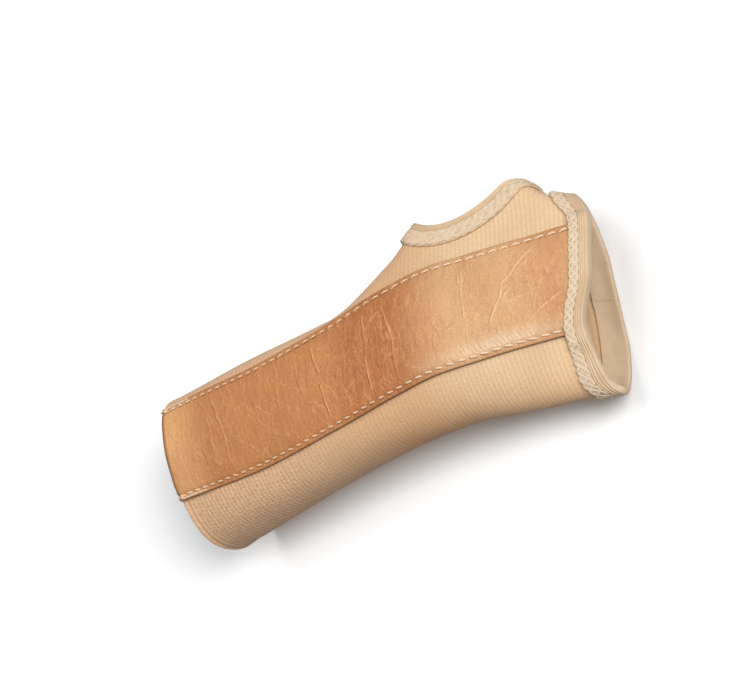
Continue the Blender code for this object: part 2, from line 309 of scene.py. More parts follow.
def distance_round(along, place):
    rows = reach_rows(along)
    spot = np.clip(place, 0, 1) * ROUND_STEPS
    low = np.clip(np.floor(spot), 0, ROUND_STEPS - 1).astype(int)
    k = np.arange(len(along))
    return rows[k, low] + (spot - low) * (rows[k, low + 1] - rows[k, low])


def thumb_spot(turn, inland):
    """Along and place of points a distance inland of the thumb opening's edge."""
    shape = np.broadcast(turn, inland).shape
    turn, inland = (np.broadcast_to(v, shape).astype(float).ravel() for v in (turn, inland))
    egg = 1 - THUMB_EGG * np.cos(turn)
    along = THUMB_AT + (THUMB_HALF + inland) * np.cos(turn)
    distance = THUMB_ROUND + (THUMB_HALF_ROUND * egg + inland) * np.sin(turn)
    return along.reshape(shape), place_round(along, distance).reshape(shape)


def thumb_size(u, v, grown=0):
    """How far out a point is from the thumb opening's middle, with 1 at its edge."""
    half = THUMB_HALF + grown
    cosine = np.clip(u / half, -1, 1)
    return np.hypot(u / half, v / (THUMB_HALF_ROUND * (1 - THUMB_EGG * cosine) + grown))


def drawn_in(along, place, height):
    """Heights with the layers under the knit's face drawn together towards the bound edges."""
    closer = DRAW_IN * ramp(palm_end(place) - along, *DRAW_OVER)
    u, v = along - THUMB_AT, np.zeros(along.shape)
    near = (np.abs(u) < THUMB_HALF + DRAW_OVER[0]) & (place > 0.1)
    v[near] = distance_round(along[near], place[near]) - THUMB_ROUND
    inland = (thumb_size(u, v) - 1) * THUMB_HALF_ROUND
    closer = np.maximum(closer, near * DRAW_IN * ramp(inland, *DRAW_OVER))
    return np.where(height < KNIT[0], KNIT[0] + (height - KNIT[0]) * (1 - closer), height)


def value_noise(u, v, seed):
    """Smooth noise from 0 to 1 over a plane, with one random value to each unit square."""
    lattice = np.random.default_rng(seed).random((128, 128))
    i, j = np.floor(u).astype(int), np.floor(v).astype(int)
    fu, fv = ramp(u - i, 0, 1), ramp(v - j, 0, 1)
    low, high = (lattice[i % 128, (j + k) % 128] * (1 - fu) + lattice[(i + 1) % 128, (j + k) % 128] * fu
                 for k in (0, 1))
    return low * (1 - fv) + high * fv


def even_places(edge_at, count, low=-1):
    """Places that cut a line round the sleeve into equal lengths, and its whole length."""
    fine = np.linspace(low, 1, 4001)
    reached = reached_by(over_face(edge_at(fine), fine, 0))
    return np.interp(np.linspace(0, reached[-1], count + 1), reached, fine), reached[-1]


# ---------------- making meshes

def put(name, data):
    made = bpy.data.objects.new(name, data)
    bpy.context.scene.collection.objects.link(made)
    return made


def make_piece(name, stands_for, verts, faces, material, attributes, body="sleeve", sharp=50):
    """A piece from points in millimetres, with one number or vector of each attribute to each point."""
    mesh = bpy.data.meshes.new(name)
    mesh.from_pydata((np.asarray(verts) * MM).tolist(), [], faces)
    mesh.materials.append(material)
    for key, values in attributes.items():
        kind, field = ("FLOAT_VECTOR", "vector") if values.ndim == 2 else ("FLOAT", "value")
        layer = mesh.attributes.new(key, kind, "POINT")
        layer.data.foreach_set(field, np.ascontiguousarray(values, np.float32).ravel())
    mesh.shade_smooth()
    mesh.set_sharp_from_angle(angle=math.radians(sharp))
    made = put(name, mesh)
    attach(made, body)
    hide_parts(stands_for)
    return made


def flat_spots(x, y):
    """A list of points of a flat cloth, from the grids of their two distances."""
    x, y = np.broadcast_arrays(x, y)
    return np.stack([x.ravel(), y.ravel(), np.zeros(x.size)], axis=1)


def closed_sheet(name, stands_for, outer, inner, material, attributes, keep=None, body="sleeve"):
    """A sheet with a thickness, from the grids of its two faces (rows run along the sleeve, columns
    round it) and each attribute's values on both. Only the cells in keep are made."""
    rows, columns = outer.shape[:2]
    count = rows * columns
    first = np.arange(count).reshape(rows, columns)[:-1, :-1]
    cells = np.stack([first + columns, first + columns + 1, first + 1, first], axis=-1)
    top = cells.reshape(-1, 4) if keep is None else cells[keep]
    low = top[:, ::-1] + count
    edges = np.concatenate([top[:, [k, (k + 1) % 4]] for k in range(4)])
    forward = edges[:, 0] * count + edges[:, 1]
    back = edges[:, 1] * count + edges[:, 0]
    rim = edges[~np.isin(back, forward)]
    walls = np.stack([rim[:, 1], rim[:, 0], rim[:, 0] + count, rim[:, 1] + count], axis=1)
    faces = np.concatenate([top, low, walls])
    used, renamed = np.unique(faces, return_inverse=True)
    points = np.concatenate([outer.reshape(-1, 3), inner.reshape(-1, 3)])[used]
    values = {key: np.concatenate(pair)[used] for key, pair in attributes.items()}
    return make_piece(name, stands_for, points, renamed.reshape(faces.shape).tolist(), material,
                      values, body)


def ring_faces(rings, corners, closed):
    """Faces between rings of points, the last joined to the first where closed."""
    here = np.arange(rings if closed else rings - 1)[:, None] * corners
    after = (here + corners) % (rings * corners)
    j = np.arange(corners)[None, :]
    beside = (j + 1) % corners
    return np.stack([here + j, here + beside, after + beside, after + j], axis=-1).reshape(-1, 4)


def tubes(paths, sides=8, closed=False, twist=0, plies=0):
    """Points, faces and run (distance along, turn round) of threads. A path is its points, the
    direction that faces out at each, and half its width and height there."""
    verts, faces, runs = [], [], []
    start = 0
    turn = np.linspace(0, math.tau, sides, endpoint=False)
    for points, outward, half_width, half_height in paths:
        count = len(points)
        across_ends = np.roll(points, -1, axis=0) - np.roll(points, 1, axis=0)
        ahead = unit(across_ends if closed else np.gradient(points, axis=0))
        sideways = unit(np.cross(ahead, outward))
        up = np.cross(sideways, ahead)
        reached = reached_by(points)
        strand = 1 + plies * np.cos(3 * (turn[None, :] - twist * reached[:, None]))
        wide = (half_width * np.ones(count))[:, None] * np.cos(turn) * strand
        high = (half_height * np.ones(count))[:, None] * np.sin(turn) * strand
        ring = points[:, None] + sideways[:, None] * wide[..., None] + up[:, None] * high[..., None]
        verts.append(ring.reshape(-1, 3))
        runs.append(flat_spots(reached[:, None], turn[None, :]))
        faces += (start + ring_faces(count, sides, closed)).tolist()
        if not closed:
            last = start + (count - 1) * sides
            faces.append(list(range(start + sides - 1, start - 1, -1)))
            faces.append(list(range(last, last + sides)))
        start += count * sides
    return np.concatenate(verts), faces, np.concatenate(runs)


# ---------------- materials

class Value:
    """A number or vector in a material's nodes. Numbers can be added, subtracted and multiplied."""

    def __init__(self, finish, socket):
        self.finish = finish
        self.socket = socket

    def __add__(self, other):
        return self.finish.maths("ADD", self, other)

    def __sub__(self, other):
        return self.finish.maths("SUBTRACT", self, other)

    def __rsub__(self, other):
        return self.finish.maths("SUBTRACT", other, self)

    def __mul__(self, other):
        return self.finish.maths("MULTIPLY", self, other)


class Finish:
    """A material, whose nodes are added one at a time."""

    def __init__(self, name, **sockets):
        self.material = bpy.data.materials.new(name)
        self.material.use_nodes = True
        self.tree = self.material.node_tree
        self.shader = self.tree.nodes["Principled BSDF"]
        for socket, value in sockets.items():
            self.shader.inputs[socket.replace("_", " ")].default_value = value

    def add(self, kind, inputs, output=0, **settings):
        made = self.tree.nodes.new(kind)
        for key, value in settings.items():
            setattr(made, key, value)
        for key, value in inputs.items():
            if isinstance(value, Value):
                self.tree.links.new(value.socket, made.inputs[key])
            else:
                made.inputs[key].default_value = value
        return Value(self, made.outputs[output])

    def maths(self, operation, a, b=0):
        return self.add("ShaderNodeMath", {0: a, 1: b}, operation=operation)

    def attribute(self, name, output="Fac"):
        return self.add("ShaderNodeAttribute", {}, output, attribute_name=name)

    def split(self, vector):
        """A vector's first two numbers."""
        return [self.add("ShaderNodeSeparateXYZ", {0: vector}, output) for output in (0, 1)]

    def spot(self, name="cloth_mm"):
        """A point's place on its flat cloth, as a vector and its two distances."""
        vector = self.attribute(name, "Vector")
        return vector, *self.split(vector)

    def scaled(self, vector, x, y):
        return self.add("ShaderNodeVectorMath", {0: vector, 1: (x, y, 1)}, operation="MULTIPLY")

    def noise(self, vector, scale, detail=3, roughness=0.55, output=0):
        inputs = {"Vector": vector, "Scale": scale, "Detail": detail, "Roughness": roughness}
        return self.add("ShaderNodeTexNoise", inputs, output)

    def cells(self, vector, scale, feature="DISTANCE_TO_EDGE"):
        return self.add("ShaderNodeTexVoronoi", {"Vector": vector, "Scale": scale}, feature=feature)

    def wave(self, value, period, phase=0):
        """From -1 to 1, once each period."""
        return self.maths("SINE", value * (math.tau / period) + phase)

    def between(self, value, low, high, to_low=0, to_high=1):
        return self.add("ShaderNodeMapRange", {0: value, 1: low, 2: high, 3: to_low, 4: to_high},
                        interpolation_type="SMOOTHSTEP")

    def mix(self, share, a, b, blend="MIX"):
        return self.add("ShaderNodeMix", {0: share, 6: a, 7: b}, 2, data_type="RGBA", blend_type=blend)

    def layers(self, colour, *over):
        """A colour with others laid over it, each as its share and itself."""
        for share, upper in over:
            colour = self.mix(share, colour, upper)
        return colour

    def end(self, colour, light, roughness, height, distance_mm, strength=0.8):
        """Wires up the shader. light is a number that the colour is multiplied by."""
        grey = self.add("ShaderNodeCombineColor", {0: light, 1: light, 2: light})
        shaded = self.mix(1, colour, grey, "MULTIPLY")
        self.tree.links.new(shaded.socket, self.shader.inputs["Base Color"])
        self.tree.links.new(roughness.socket, self.shader.inputs["Roughness"])
        inputs = {"Strength": strength, "Distance": distance_mm * MM, "Height": height}
        relief = self.add("ShaderNodeBump", inputs)
        self.tree.links.new(relief.socket, self.shader.inputs["Normal"])
        return self.material


def rgb(red, green, blue):
    return (red, green, blue, 1)


KNIT_FORE = rgb(0.61, 0.38, 0.22)
KNIT_WRIST = rgb(0.575, 0.345, 0.185)
KNIT_HAND = rgb(0.655, 0.463, 0.279)
KNIT_PATCH = rgb(0.52, 0.32, 0.185)
KNIT_SHADE_TINT = rgb(1, 0.90, 0.83)  # painted shade: a warm tint that the knit's colours are multiplied by on its shaded ulnar side
LEATHER_MOUTH = rgb(0.65, 0.34, 0.144)
LEATHER_FORE = rgb(0.465, 0.185, 0.062)
# the leather's tone at the wrist, with painted shade in it
LEATHER_WRIST_SHADED = rgb(0.375, 0.125, 0.032)
LEATHER_PALM = rgb(0.60, 0.345, 0.168)
LEATHER_END = rgb(0.45, 0.20, 0.08)
LEATHER_CLOUD = rgb(0.38, 0.155, 0.055)
LEATHER_PALE = rgb(0.64, 0.33, 0.14)
# pale of the raised creases: partly the creased leather's own tone, partly painted highlight
LEATHER_RIDGE = rgb(0.72, 0.46, 0.245)
# pale haze by the seam: partly wear, partly painted highlight on the puckers
LEATHER_WEAR_AND_HIGHLIGHT = rgb(0.80, 0.66, 0.49)
# dark streaks in the leather, and painted shade in crease grooves, along the stitch line and in needle
# holes
LEATHER_DEEP = rgb(0.20, 0.078, 0.028)
# the raw edges' own dark, and painted shadow along the pocket's mouth
LEATHER_CUT_AND_SHADOW = rgb(0.17, 0.07, 0.028)
BINDING_COLOURS = rgb(0.60, 0.44, 0.28), rgb(0.66, 0.50, 0.335)
BINDING_SHADE = rgb(0.44, 0.29, 0.165)
SEAM_YARN = rgb(0.83, 0.62, 0.43), rgb(0.68, 0.46, 0.30)
COVER_YARN = rgb(0.75, 0.61, 0.45), rgb(0.63, 0.49, 0.34)
# painted shade on the yarn between palm and mouth
YARN_IN_SHADE = rgb(0.62, 0.37, 0.21)
LINING_COLOURS = rgb(0.66, 0.49, 0.33), rgb(0.74, 0.57, 0.40)
METAL = rgb(0.48, 0.49, 0.51), rgb(0.68, 0.69, 0.70)
METAL_MARK = rgb(0.36, 0.36, 0.37)
VINYL = rgb(0.035, 0.035, 0.037), rgb(0.11, 0.11, 0.11)


def knit_finish():
    """Knit: rows across the sleeve, columns along it, open between the loops near the forearm."""
    f = Finish("splint_knit", Sheen_Weight=0.12, Sheen_Roughness=0.5, Specular_IOR_Level=0.15)
    cloth, along, round_it = f.spot()
    seam_mm = f.attribute("seam_mm")
    forearm = f.between(along, 78, 48)
    hand = f.between(along, 112, 150)
    calm = 1 - hand * 0.5
    wander = (f.noise(cloth, 0.16) - 0.5) * 3
    slip = f.wave(along, 2 * ROW) * (0.22 * WALE)
    row = f.wave(along + wander * 0.12, ROW, math.pi / 2)
    column = f.wave(round_it + wander + slip, WALE)
    cross = column * (forearm * 0.015 + 0.012) * calm
    fine = f.wave(round_it * 0.5 + along, 0.95) * calm
    loops = (0.5 - row * 0.5) * (0.5 - column * 0.5)
    hole = f.between(loops, 0.35, 0.95) * (forearm * 0.8 + 0.2)
    yarn = f.noise(f.scaled(cloth, 1, 0.7), 1.3, 4, 0.72)
    patch = f.noise(f.scaled(cloth, 1, 0.6), 0.07, 2)
    clump = (f.noise(f.scaled(cloth, 1, 0.55), 0.75, 1) - 0.5) * forearm
    base = f.mix(f.between(along, 60, 95), KNIT_FORE, KNIT_WRIST)
    base = f.mix(hand, base, KNIT_HAND)
    # Painted shade: the ulnar side of the wrist and hand, which lies in shade, is tinted warmer and a
    # little darker.
    ulnar = f.between(seam_mm, 5, 28) * f.between(seam_mm, 90, 60) * f.between(along, 85, 110)
    base = f.mix(ulnar, base, KNIT_SHADE_TINT, "MULTIPLY")
    base = f.mix(f.between(patch, 0.3, 0.7, 0, 0.3), base, KNIT_PATCH)
    light = (yarn - 0.5) * 0.6 + clump * 0.42 + 1
    light = light * (row * (forearm * 0.045 + hand * 0.025 + 0.015) + 1)
    light = light * (fine * 0.018 + 1) * (cross + 1) * (1 - hole * 0.05)
    relief = cross * 4 + fine * 0.09 + row * 0.06 + clump * 0.8 + yarn * 0.9 - hole * 0.07
    return f.end(base, light, yarn * 0.2 + 0.78, relief, 0.3)


def leather_finish():
    """Smooth tan leather: fine grain, pale along raised creases, partly painted highlight, and painted
    shade in their grooves.
    """
    f = Finish("splint_leather", Specular_IOR_Level=0.35)
    spot, along = f.spot()[:2]
    crease = f.attribute("crease")
    edge = f.attribute("cut_edge_and_shadow")
    wrist = f.between(along, 74, 96) * f.between(along, 138, 112)
    astray = f.noise(spot, 0.3, 2, 0.5, output=1)
    bent = f.add("ShaderNodeVectorMath", {0: astray, 1: (4, 4, 0), 2: spot},
                 operation="MULTIPLY_ADD")
    cracks = f.between(f.cells(f.scaled(bent, 1, 0.5), 0.17), 0.05, 0) \
        * f.between(f.noise(spot, 0.16, 2), 0.42, 0.6)
    fine_cracks = f.between(f.cells(f.scaled(bent, 1, 0.32), 0.5), 0.11, 0) * (wrist * 0.6 + 0.4)
    streak = f.noise(f.scaled(bent, 1, 0.16), 0.75, 3, 0.6)
    grain = f.cells(spot, 1.3, "F1")
    pores = f.noise(spot, 1.7, 5, 0.75)
    cloud = f.noise(f.scaled(spot, 1, 0.55), 0.055, 4, 0.6)
    ridge = f.mix(f.between(along, 108, 145, 0.25, 1), LEATHER_PALE, LEATHER_RIDGE)
    # The colour steps along the leather are partly its own tone and partly painted light and shade: a
    # darker band at the wrist, where the leather turns away from the light, and a paler palm part.
    base = f.layers(
        LEATHER_MOUTH,
        (f.between(along, 4, 26), LEATHER_FORE),
        (f.between(along, 82, 100), LEATHER_WRIST_SHADED),
        (f.between(along, 112, 142), LEATHER_PALM),
        (f.between(along, 160, 184, 0, 0.55), LEATHER_END),
        (f.between(cloud, 0.35, 0.7, 0, 0.35), LEATHER_CLOUD),
        (f.between(streak, 0.52, 0.36) * (wrist * 0.1 + 0.12), LEATHER_DEEP),
        (f.between(streak, 0.52, 0.72, 0, 0.22), LEATHER_PALE),
        (cracks * 0.4, LEATHER_PALE),
        (fine_cracks * 0.22, LEATHER_PALE),
        # pale raised creases: partly their own tone, partly painted highlight
        (f.between(crease, 0, 1, 0, 0.85), ridge),
        # pale haze by the ulnar seam: partly wear, partly painted highlight
        (f.attribute("wear_and_highlight") * 0.54, LEATHER_WEAR_AND_HIGHLIGHT),
        # painted shade in crease grooves, along the stitch line and in the needle holes
        (f.between(crease, 0, -1, 0, 0.7), LEATHER_DEEP),
        # dark cut edges, with painted shadow along the mouth
        (edge * 0.75, LEATHER_CUT_AND_SHADOW))
    light = (pores - 0.5) * f.between(along, 110, 140, 0.6, 0.95) + 1
    light = light * (grain * 0.2 + 0.9)
    relief = grain * 0.35 + pores * 0.9 + streak * (wrist * 0.3 + 0.5) + cracks * 0.35 + fine_cracks * 0.3
    return f.end(base, light, pores * 0.25 + edge * 0.2 + 0.44, relief, 0.22)


def binding_finish():
    """Stretch binding: cream, ribbed lengthwise, with a fine twill."""
    f = Finish("splint_binding", Sheen_Weight=0.12, Sheen_Roughness=0.5, Specular_IOR_Level=0.2)
    cloth, run, inland = f.spot()
    twill = f.wave(run + inland, 0.75)
    yarn = f.noise(cloth, 2.4, 4, 0.65)
    base = f.mix(f.between(f.noise(cloth, 0.12, 2), 0.3, 0.7), *BINDING_COLOURS)
    base = f.mix(f.attribute("shade"), base, BINDING_SHADE)
    light = ((yarn - 0.5) * 0.3 + 1) * (twill * 0.035 + 1)
    relief = twill * 0.3 + f.wave(inland, 0.9) * 0.1 + yarn * 0.6
    return f.end(base, light, yarn * 0.2 + 0.74, relief, 0.2)


def thread_finish(name, colours):
    """Twisted yarn: three plies, whose pitch is in the bump. It is browner between palm and mouth: painted
    shade.
    """
    f = Finish(name, Sheen_Weight=0.1, Sheen_Roughness=0.4, Specular_IOR_Level=0.2)
    run, reached, turn = f.spot("thread_run")
    lengthwise = f.split(f.add("ShaderNodeTexCoord", {}, "Object"))[0]
    # Painted shade: the yarn is browner between palm and mouth.
    shaded_stretch = f.between(lengthwise, 0.045, 0) * f.between(lengthwise, -0.09, -0.075, 0.3, 1)
    ply = f.maths("SINE", reached * 6 + turn * 3)
    fuzz = f.noise(f.scaled(run, 3, 1), 1.4, 3, 0.6)
    base = f.mix(f.between(fuzz, 0.3, 0.75), *colours)
    base = f.mix(shaded_stretch * 0.75, base, YARN_IN_SHADE)
    return f.end(base, ply * 0.05 + 0.98, fuzz * 0.2 + 0.55, ply * 0.6 + fuzz * 0.5, 0.12)


def lining_finish():
    """Plain-woven cotton behind the stay."""
    f = Finish("splint_lining", Sheen_Weight=0.2, Sheen_Roughness=0.5, Specular_IOR_Level=0.25)
    cloth, along, across = f.spot()
    weave = f.wave(along, 0.9) * f.wave(across, 0.9)
    yarn = f.noise(cloth, 1.8, 4, 0.65)
    base = f.mix(f.between(f.noise(cloth, 0.08, 2), 0.3, 0.7), *LINING_COLOURS)
    light = weave * 0.08 + yarn * 0.3 + 0.82
    return f.end(base, light, yarn * 0.2 + 0.75, weave * 0.5 + yarn * 0.5, 0.25)


def stay_finish():
    """Aluminium brushed along its length, with a few rubbed marks."""
    f = Finish("splint_stay", Metallic=1)
    spot = f.spot()[0]
    brushed = f.noise(f.scaled(spot, 0.05, 6), 1, 4, 0.7)
    marks = f.between(f.noise(spot, 0.35, 4, 0.7), 0.58, 0.72, 0, 0.5)
    base = f.mix(marks, f.mix(brushed, *METAL), METAL_MARK)
    return f.end(base, 1, brushed * 0.22 + 0.24, brushed, 0.04, 0.5)


def tip_finish():
    """Dipped vinyl on the stay's ends, scuffed in patches."""
    f = Finish("splint_tip", Specular_IOR_Level=0.5)
    spot = f.spot()[0]
    scuff = f.noise(spot, 0.5, 4, 0.7)
    base = f.mix(f.between(scuff, 0.5, 0.75), *VINYL)
    return f.end(base, 1, scuff * 0.35 + 0.28, f.noise(spot, 1.6, 3, 0.5), 0.08, 0.6)


# ---------------- knit sleeve

def knit_columns(per_side):
    """Places round the sleeve, from the radial seam over the back to the ulnar seam."""
    tucked = PANEL * (1 - SEAM_TUCK / LEATHER_HALF)
    half = even_places(lambda place: np.full_like(place, 120), per_side, PANEL)[0]
    half = np.concatenate([[tucked, (tucked + PANEL) / 2], half])
    return np.concatenate([half, -half[-2::-1]])


def knit_ribs(along, place):
    """Height of the knit's rows over its mean face, strongest beside the thumb."""
    hand = ramp(along, 112, 140)
    thumb = ramp(place, 0.1, 0.3) * hand
    strength = 0.022 + 0.006 * hand + 0.027 * thumb + 0.02 * ramp(along, 75, 35)
    ribs = strength * np.cos(math.tau * along / ROW)
    lip = 0.35 * bump(along, 0.6, 0.7) - 0.4 * bump(along, 1.9, 0.45) + 0.2 * bump(along, 3, 0.6)
    return ribs * ramp(along, 2.5, 4.5) + lip


def knit_drape(along, place):
    """Slow unevenness of the stretched knit."""
    swell = value_noise(along / 24 + 3, (place + 1) * 9, 11) - 0.5
    free = ramp(along, 4, 16) * ramp(palm_end(place) - along, 6, 24)
    return (0.5 - 0.34 * ramp(along, 100, 125)) * swell * free


def elastic_sleeve(material):
    columns = knit_columns(44)
    straight = np.arange(0, STRAIGHT_TO + 0.01, ROW_STEP)[:, None]
    share = np.linspace(0, 1, 40)[1:, None]
    last = STRAIGHT_TO + (palm_end(columns) - BIND_EDGE - STRAIGHT_TO) * share
    along = np.concatenate([np.broadcast_to(straight, (len(straight), len(columns))), last])
    place = np.broadcast_to(columns, along.shape).copy()
    knit_mm = reached_by(face_point(along, place))
    keep = cut_thumb_opening(along, place)
    drape = knit_drape(along, place)
    outer = over_face(along, place, KNIT[0] + knit_ribs(along, place) + drape - 0.1)
    inner = over_face(along, place, KNIT[1] + 0.5 * drape)
    spots = flat_spots(along, knit_mm)
    seam_mm = (knit_mm[:, -1:] - knit_mm).ravel()
    attributes = {"cloth_mm": (spots, spots + INNER_SHIFT), "seam_mm": (seam_mm, seam_mm)}
    return closed_sheet("sleeve_knit", "elastic_sleeve", outer, inner, material, attributes, keep)


def cut_thumb_opening(along, place):
    """Which cells stay round the thumb opening. Points just inside its edge move onto it."""
    near = (place > 0.24) & (place < 0.85) & (along > 115) & (along < 180)
    x, p = along[near], place[near]
    u, v = x - THUMB_AT, distance_round(x, p) - THUMB_ROUND
    inside = np.zeros(along.shape, bool)
    inside[near] = thumb_size(u, v, BIND_EDGE) < 1
    gone = inside[:-1, :-1] & inside[1:, :-1] & inside[:-1, 1:] & inside[1:, 1:]
    rim = inside[near]
    u, v = u[rim], v[rim]
    for _ in range(6):
        grow = 1 / np.maximum(thumb_size(u, v, BIND_EDGE), 0.3)
        u, v = u * grow, v * grow
    x[rim] = THUMB_AT + u
    p[rim] = place_round(THUMB_AT + u, THUMB_ROUND + v)
    along[near], place[near] = x, p
    return ~gone


# ---------------- leather

# Raised creases in the leather: their points as (along, across the panel), and their strength
CREASES = (
    (((78.5, 15), (81, 6.5), (81.5, -2.5), (82, -15.5)), 1),
    (((95, 17), (95.5, 10.5), (93.5, 6.5)), 0.5),
    (((103.5, 15), (104, 4), (103, -4.5), (103, -16.5)), 0.9),
    (((109.5, 9.5), (109, 1.5)), 0.6),
    (((111.5, 17.5), (114, 7), (115.5, -2), (115, -10.5), (114.5, -15.5)), 1),
    (((121, 12), (121.5, -1), (119.5, -9.5)), 0.5),
    (((123.5, 2.5), (128.5, -4.5)), 0.4),
    (((133.5, 13), (134, 3.5), (133.5, -6.5), (131, -14)), 0.5),
    (((128, 15), (128.5, 8.5)), 0.4),
    (((87, 6.5), (87.5, -5.5)), 0.4),
    (((90, -2), (96, -12.5)), 0.5),
    (((107, -13), (109.5, -17.5)), 0.5),
    (((179.5, 16), (172.5, 12), (167, 6.5), (163, 4), (162, -0.5), (155, -10)), 1),
    (((170, 4.5), (165.5, 1), (161.5, -3.5)), 0.8),
    (((176, 12), (171, 8), (167.5, 3.5)), 0.5),
    (((186, -4.5), (179.5, -7), (175, -9.5), (171, -12)), 0.7),
    (((174, -2), (168.5, -2.5), (163.5, -4), (160, -6.5)), 0.5),
    (((148, 15.5), (147, 3.5), (147, -5.5), (145.5, -13)), 0.8),
    (((137, -7.5), (144.5, -5), (147, -3)), 0.6),
    (((154, -2), (148.5, -7)), 0.5),
    (((153, 12), (151, 4), (152, -1)), 0.4),
    (((28, 15), (31, 3.5), (32, -1), (32, -7.5), (30, -14)), 1),
    (((25, 11), (27.5, 3), (30.5, -3)), 0.4),
    (((14, 12.5), (16, 4.5), (15.5, 0.5)), 0.4),
    (((45, 6.5), (47, 2), (50.5, -2.5), (53, -8), (57.5, -10.5)), 0.6),
    (((49.5, -9), (50.5, -13), (52.5, -16)), 0.6),
    (((37, -5.5), (43.5, -10), (47, -14.5)), 0.6),
    (((64.5, -3), (66.5, -9.5), (65, -14.5)), 0.5),
    (((19.5, -2), (21, -8.5), (21, -12)), 0.4),
    (((45.5, 4.5), (45.5, -2)), 0.4),
    (((58, 13), (61, 4), (60, -3)), 0.4),
    (((70, 14), (71.5, 6), (74, -4)), 0.4),
)


def in_palm(x, there, elsewhere):
    return np.where(x > PALM_FROM, there, elsewhere)


def distance_to_line(x, a, line):
    """Distance to a line of points, and on which side of it a point lies (positive further along)."""
    best = np.full(x.shape, 1e9)
    side = np.zeros(x.shape)
    for (x0, a0), (x1, a1) in zip(line, line[1:]):
        dx, da = x1 - x0, a1 - a0
        share = np.clip(((x - x0) * dx + (a - a0) * da) / (dx * dx + da * da), 0, 1)
        gap_x, gap_a = x - x0 - share * dx, a - a0 - share * da
        gap = np.hypot(gap_x, gap_a)
        nearer = gap < best
        side = np.where(nearer, np.sign(gap_x), side)
        best = np.where(nearer, gap, best)
    return best, side


def smooth_line(points, count=20):
    """A round line through a crease's points."""
    at = np.linspace(0, 1, len(points))
    fine = np.linspace(0, 1, count)
    return list(zip(*(smooth_curve(list(zip(at, numbers)))(fine) for numbers in zip(*points))))


def faint_creases():
    """Short fine creases, mostly across the leather, with their strengths."""
    rng = np.random.default_rng(17)
    found = []
    for _ in range(FAINT_CREASES):
        x, a = rng.uniform(2, 188), rng.uniform(-18, 17)
        lean = rng.normal(0, 0.5) + in_palm(x, 0.45, 0)
        length = rng.uniform(3, 11)
        bow = rng.normal(0, 0.12) * length
        dx, da = math.sin(lean), math.cos(lean)
        line = ((x - dx * length / 2, a - da * length / 2), (x + da * bow, a - dx * bow),
                (x + dx * length / 2, a + da * length / 2))
        found.append((line, rng.uniform(0.15, 0.55) * in_palm(x, 1.6, 1.1)))
    return found


def crease_relief(x, a):
    """Height and tone of the raised creases: pale along each ridge, partly the creased leather's own tone
    and partly painted highlight, with painted shade in a groove on one side. Each fades out at its ends.
    """
    height = np.zeros(x.shape)
    tone = np.zeros(x.shape)
    wander_x = x + 1.1 * (value_noise(x / 5, a / 3, 71) - 0.5)
    faint = 0.35 + 0.9 * value_noise(x / 4, a / 3, 72)
    drawn = [(line, in_palm(line[0][0], 1.8, 1.35) * strength) for line, strength in CREASES]
    for line, strength in drawn + faint_creases():
        (low_x, low_a), (high_x, high_a) = np.min(line, axis=0) - 3, np.max(line, axis=0) + 3
        near = (x > low_x) & (x < high_x) & (a > low_a) & (a < high_a)
        gap, side = distance_to_line(wander_x[near], a[near], smooth_line(line))
        from_end = np.minimum(*(np.hypot(x[near] - end_x, a[near] - end_a)
                                for end_x, end_a in (line[0], line[-1])))
        power = strength * faint[near] * (0.3 + 0.7 * ramp(from_end, 0, 3))
        wide = 0.22 + 0.05 * strength
        ridge = bump(gap, 0, wide) * power
        # painted shade: the groove on one side of the ridge is darkened
        groove = bump(gap, 1.5 * wide + 0.3, 0.45) * (side < 0) * power
        height[near] += 0.16 * ridge - 0.13 * groove
        tone[near] += in_palm(x[near], 0.85, 0.8) * ridge - in_palm(x[near], 0.22, 0.45) * groove
    return height, tone


